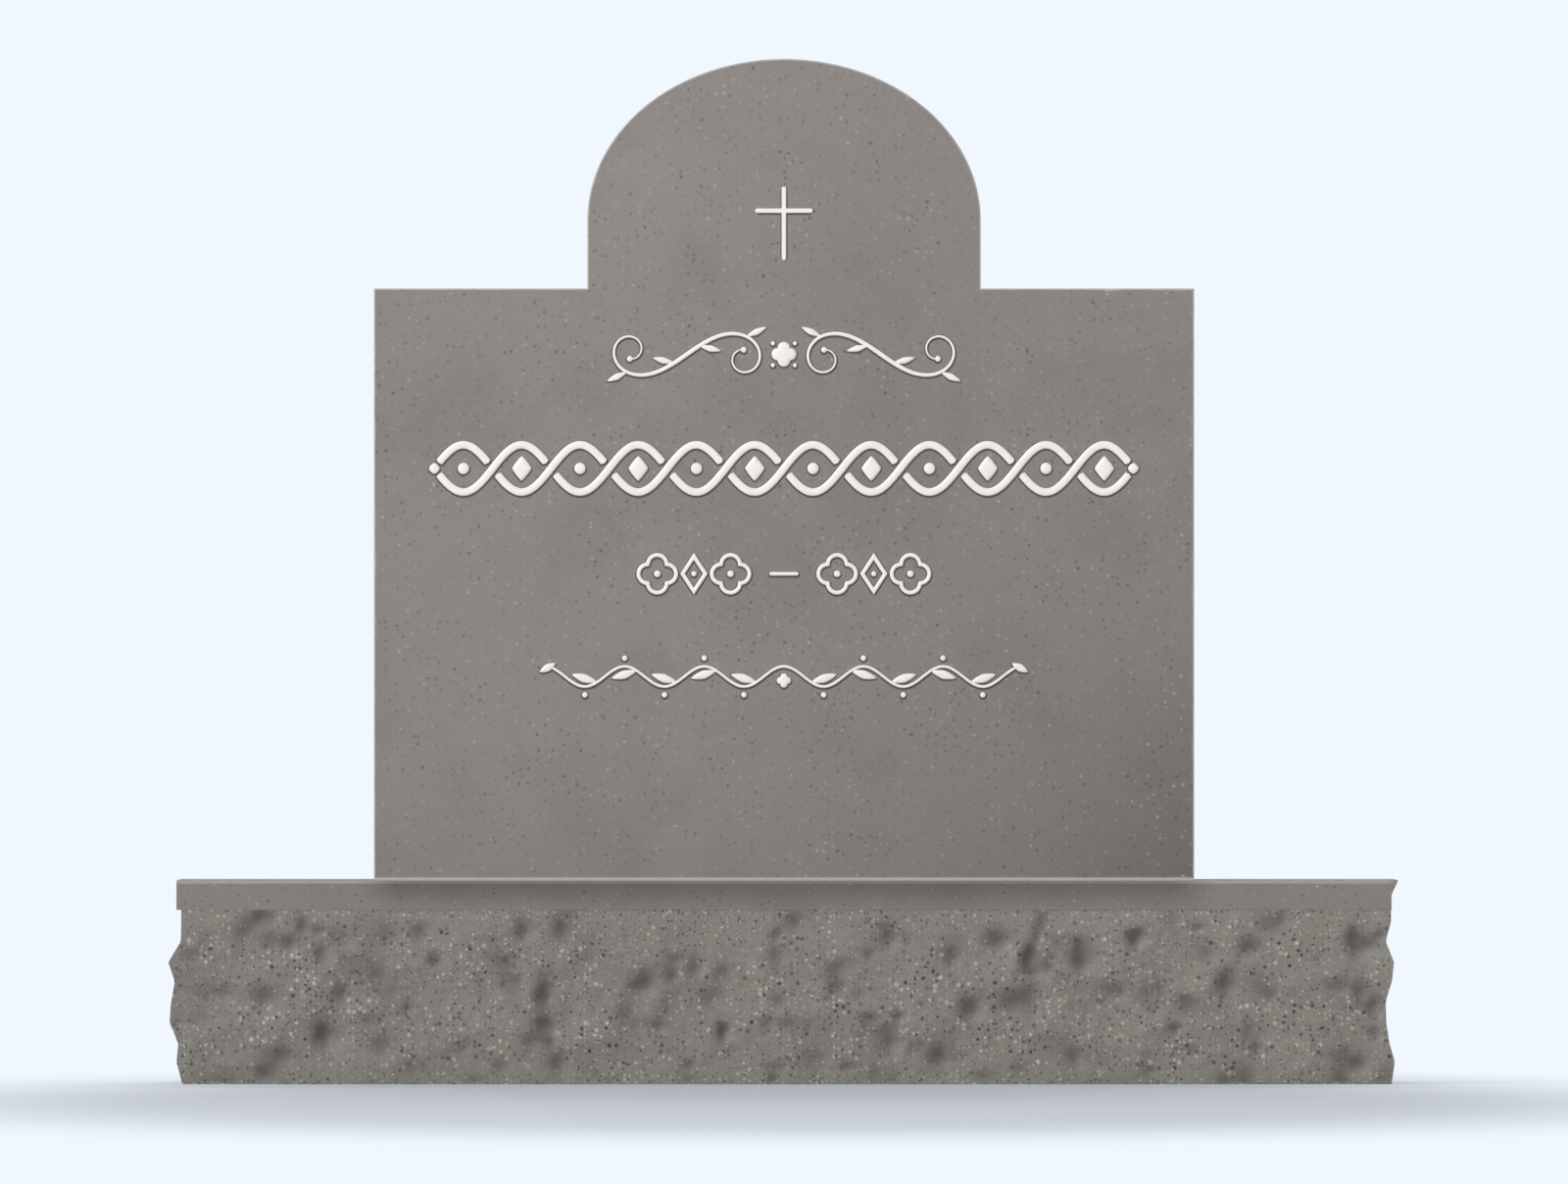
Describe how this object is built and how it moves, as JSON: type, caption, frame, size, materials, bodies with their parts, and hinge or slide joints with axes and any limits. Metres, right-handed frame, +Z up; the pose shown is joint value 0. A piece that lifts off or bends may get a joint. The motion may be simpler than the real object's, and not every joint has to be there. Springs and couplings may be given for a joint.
{
  "type": "round-headed granite headstone",
  "caption": "Granite headstone: an upright tablet with square shoulders, a rounded head and an inlaid Latin cross, dowelled to a wider rock-pitched base.",
  "frame": {"origin": "middle of the base's underside, at ground level", "axes": "+X along the stone to the right as seen from the front, +Y from its face to its back, +Z up"},
  "size_m": [0.914, 0.305, 0.763],
  "materials": {
    "tablet": "honed",
    "base": "rock-pitched, honed on top",
    "inlay": "satin enamel",
    "joint": "pointed setting compound",
    "pad": "matte",
    "dowel": "drawn bar"
  },
  "bodies": {
    "root": {"tablet": "tablet", "base": "base", "cross_inlay": "inlay", "setting_joint": "joint", "front_left_setting_pad": "pad", "front_right_setting_pad": "pad", "back_left_setting_pad": "pad", "back_right_setting_pad": "pad", "left_dowel": "dowel", "right_dowel": "dowel"}
  },
  "joints": []
}
